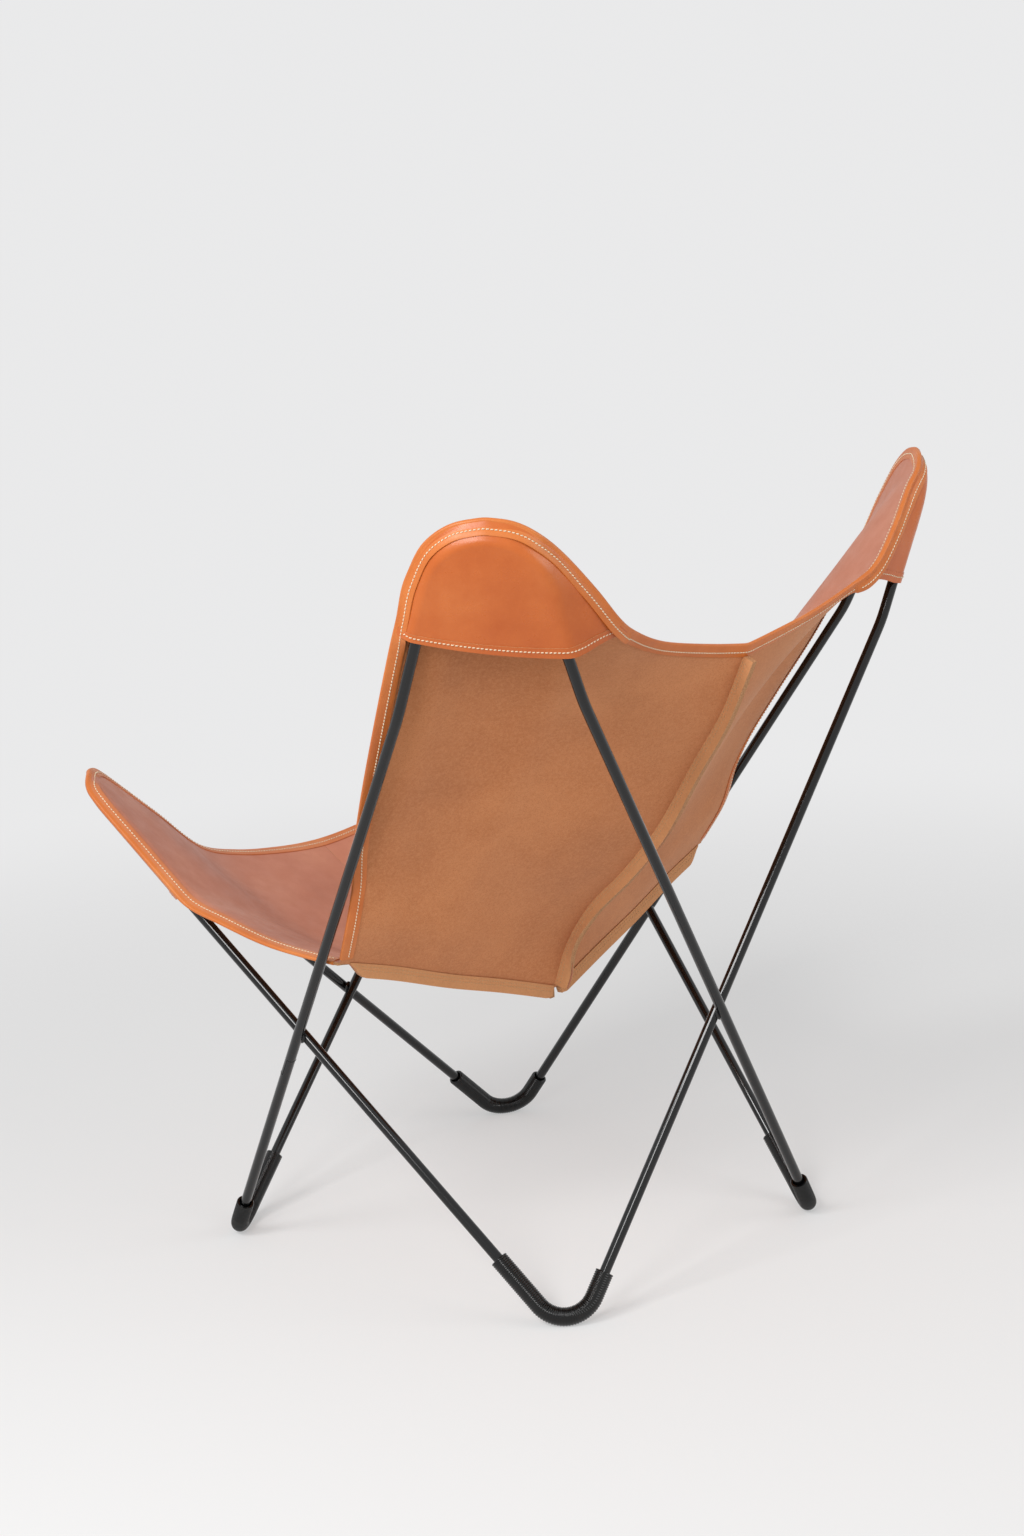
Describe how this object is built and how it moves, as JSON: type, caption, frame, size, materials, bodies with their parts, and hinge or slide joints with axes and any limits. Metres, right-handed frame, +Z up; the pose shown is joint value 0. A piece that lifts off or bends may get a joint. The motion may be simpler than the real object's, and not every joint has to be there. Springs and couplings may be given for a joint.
{
  "type": "butterfly sling chair",
  "caption": "Low lounge chair: a leather sling hung by pockets on the four ears of a frame of bent black steel bar with ribbed rubber feet.",
  "frame": {"origin": "middle of the chair's width and depth, on the floor under the soles", "axes": "+Z up; the sitter faces -Y; +X at the sitter's left hand"},
  "size_m": [0.804, 0.79, 0.9185],
  "materials": {
    "frame": "black satin powder coat on bent steel bar",
    "foot_rubber": "black ribbed rubber hose",
    "sling_hide": "thick tan saddle leather, grain toward the sitter and napped flesh side behind",
    "pocket_hide": "smooth tan leather with a stitched hem",
    "binding_hide": "folded leather strip with cream stitching"
  },
  "bodies": {
    "root": {"frame_loop_a": "frame", "frame_loop_b": "frame", "weld_left": "frame", "weld_right": "frame", "weld_back": "frame", "weld_front": "frame", "foot_sleeve_back_left": "foot_rubber", "foot_sleeve_back_right": "foot_rubber", "foot_sleeve_front_left": "foot_rubber", "foot_sleeve_front_right": "foot_rubber", "sling_panel_back_left": "sling_hide", "sling_panel_back_right": "sling_hide", "sling_panel_seat_left": "sling_hide", "sling_panel_seat_right": "sling_hide", "ear_pocket_back_left": "pocket_hide", "ear_pocket_back_right": "pocket_hide", "ear_pocket_seat_left": "pocket_hide", "ear_pocket_seat_right": "pocket_hide", "edge_binding_back_long": "binding_hide", "edge_binding_back_short": "binding_hide", "edge_binding_seat": "binding_hide"}
  },
  "joints": []
}
